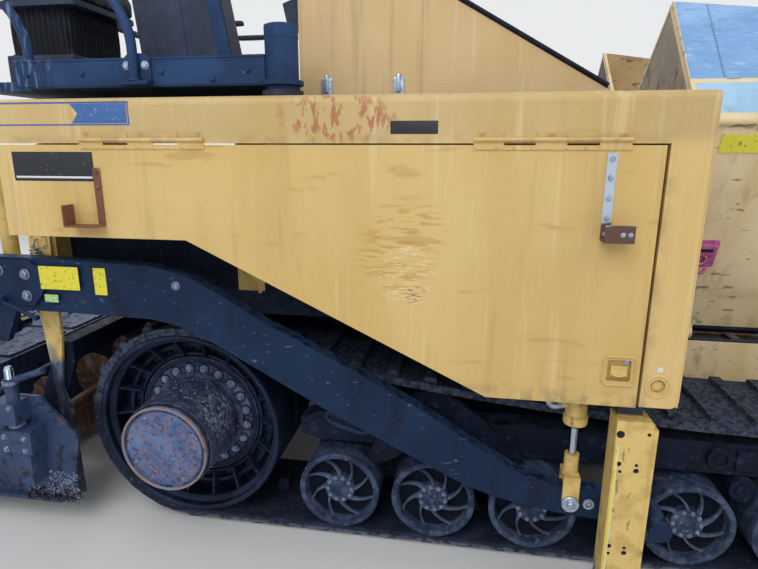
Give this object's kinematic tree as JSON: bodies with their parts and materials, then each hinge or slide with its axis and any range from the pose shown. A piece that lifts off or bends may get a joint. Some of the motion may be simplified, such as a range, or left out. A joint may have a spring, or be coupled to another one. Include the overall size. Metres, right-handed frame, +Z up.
{
  "type": "tracked asphalt paver",
  "caption": "Tracked asphalt paver with raised hopper wings, push rollers, feed conveyors, augers and a towed extending screed on long side arms.",
  "frame": {"origin": "on the ground, at the centre of the overall box", "axes": "+X forward (the hopper's end), +Y to the machine's left, +Z up"},
  "size_m": [6.56, 3.08, 2.7393],
  "materials": {
    "yellow_paint": "faded satin",
    "dark_paint": "worn satin",
    "grey_steel": "worn bare plate",
    "cast": "dusty",
    "belt_rubber": "matte",
    "rod_chrome": "polished",
    "worn_steel": "worn, rusty",
    "seat_vinyl": "matte vinyl",
    "console_plastic": "textured"
  },
  "bodies": {
    "tractor": {"main_frame": "dark_paint", "engine_block": "dark_paint", "tanks": "dark_paint", "side_panels": "yellow_paint", "deck": "dark_paint", "engine_hood": "yellow_paint", "track_frames": "dark_paint", "bogies": "dark_paint", "road_wheels": "cast", "track_belts": "belt_rubber", "drive_wheels": "dark_paint", "final_drives": "cast", "tow_posts": "yellow_paint", "tow_cylinders": "yellow_paint", "rear_frame": "yellow_paint", "auger_frame": "dark_paint", "hopper_frame": "yellow_paint", "conveyors": "worn_steel", "handrails": "dark_paint"},
    "hood_lid": {"hood_lid": "dark_paint"},
    "side_door_right": {"side_door_right": "yellow_paint"},
    "side_door_left": {"side_door_left": "yellow_paint"},
    "tow_rods": {"tow_rods": "yellow_paint"},
    "screed": {"tow_arms": "dark_paint", "screed_body": "grey_steel", "screed_walkway": "dark_paint"},
    "screed_extender_right": {"screed_extender_right": "grey_steel"},
    "screed_extender_left": {"screed_extender_left": "grey_steel"},
    "end_gate_right": {"end_gate_right": "grey_steel"},
    "end_gate_left": {"end_gate_left": "grey_steel"},
    "lift_barrels": {"lift_barrels": "yellow_paint"},
    "lift_rods": {"lift_rods": "rod_chrome"},
    "auger_right": {"auger_right": "worn_steel"},
    "auger_left": {"auger_left": "worn_steel"},
    "hopper_wing_right": {"hopper_wing_right": "yellow_paint"},
    "hopper_wing_left": {"hopper_wing_left": "yellow_paint"},
    "hopper_apron": {"hopper_apron": "yellow_paint"},
    "push_bar": {"push_bar": "dark_paint"},
    "push_roller_right": {"push_roller_right": "worn_steel"},
    "push_roller_left": {"push_roller_left": "worn_steel"},
    "station_right": {"station_right": "dark_paint", "seat_right": "seat_vinyl", "console_right": "console_plastic"},
    "station_left": {"station_left": "dark_paint", "seat_left": "seat_vinyl", "console_left": "console_plastic"}
  },
  "joints": [
    {"name": "side_door_right", "type": "hinge", "parent": "tractor", "child": "side_door_right", "pos_m": [-0.45, -1.4768, 1.631], "axis": [-1, 0, 0], "range_deg": [0, 80]},
    {"name": "side_door_left", "type": "hinge", "parent": "tractor", "child": "side_door_left", "pos_m": [-0.45, 1.4768, 1.631], "axis": [1, 0, 0], "range_deg": [0, 80]},
    {"name": "hood_lid", "type": "hinge", "parent": "tractor", "child": "hood_lid", "pos_m": [-0.08182, 0, 2.19627], "axis": [0, -1, 0], "range_deg": [0, 55]},
    {"name": "tow_height", "type": "slide", "parent": "tractor", "child": "tow_rods", "axis": [0, 0, 1], "range_m": [-0.1, 0.105]},
    {"name": "screed_lift", "type": "hinge", "parent": "tow_rods", "child": "screed", "pos_m": [0.505, 0, 0.339], "axis": [0, 1, 0], "range_deg": [-3, 5.5]},
    {"name": "lift_swing", "type": "hinge", "parent": "tractor", "child": "lift_barrels", "pos_m": [-1.84, 0, 1.56], "axis": [0, -1, 0], "range_deg": [-3.4, 6.2]},
    {"name": "lift_stroke", "type": "slide", "parent": "lift_barrels", "child": "lift_rods", "axis": [0, 0, 1], "range_m": [-0.125, 0.225]},
    {"name": "extender_right", "type": "slide", "parent": "screed", "child": "screed_extender_right", "axis": [0, -1, 0], "range_m": [0, 0.95]},
    {"name": "extender_left", "type": "slide", "parent": "screed", "child": "screed_extender_left", "axis": [0, 1, 0], "range_m": [0, 0.95]},
    {"name": "end_gate_right", "type": "slide", "parent": "screed_extender_right", "child": "end_gate_right", "axis": [0, 0, 1], "range_m": [-0.05, 0.12]},
    {"name": "end_gate_left", "type": "slide", "parent": "screed_extender_left", "child": "end_gate_left", "axis": [0, 0, 1], "range_m": [-0.05, 0.12]},
    {"name": "auger_right", "type": "hinge", "parent": "tractor", "child": "auger_right", "pos_m": [-1.75, -0.6, 0.4], "axis": [0, 1, 0], "continuous": true},
    {"name": "auger_left", "type": "hinge", "parent": "tractor", "child": "auger_left", "pos_m": [-1.75, 0.6, 0.4], "axis": [0, 1, 0], "continuous": true},
    {"name": "hopper_wing_right", "type": "hinge", "parent": "tractor", "child": "hopper_wing_right", "pos_m": [1.75, -0.658, 0.8], "axis": [1, 0, 0], "range_deg": [0, 50]},
    {"name": "hopper_wing_left", "type": "hinge", "parent": "tractor", "child": "hopper_wing_left", "pos_m": [1.75, 0.658, 0.8], "axis": [-1, 0, 0], "range_deg": [0, 50]},
    {"name": "hopper_apron", "type": "hinge", "parent": "tractor", "child": "hopper_apron", "pos_m": [2.785, 0, 0.645], "axis": [0, 1, 0], "range_deg": [0, 55]},
    {"name": "push_bar", "type": "hinge", "parent": "tractor", "child": "push_bar", "pos_m": [2.98, 0, 0.5], "axis": [0, 0, 1], "range_deg": [-8, 8]},
    {"name": "push_roller_right", "type": "hinge", "parent": "push_bar", "child": "push_roller_right", "pos_m": [3.195, -0.55, 0.5], "axis": [0, 1, 0], "continuous": true},
    {"name": "push_roller_left", "type": "hinge", "parent": "push_bar", "child": "push_roller_left", "pos_m": [3.195, 0.55, 0.5], "axis": [0, 1, 0], "continuous": true},
    {"name": "station_right", "type": "hinge", "parent": "tractor", "child": "station_right", "pos_m": [-0.561, -1.3, 1.85], "axis": [0, 0, 1], "range_deg": [0, 22]},
    {"name": "station_left", "type": "hinge", "parent": "tractor", "child": "station_left", "pos_m": [-0.561, 1.3, 1.85], "axis": [0, 0, -1], "range_deg": [0, 22]}
  ],
  "couplings": [
    {"joint": "lift_swing", "follows": "screed_lift", "ratio": 1.1},
    {"joint": "lift_stroke", "follows": "screed_lift", "m_per_rad": 2.3}
  ]
}
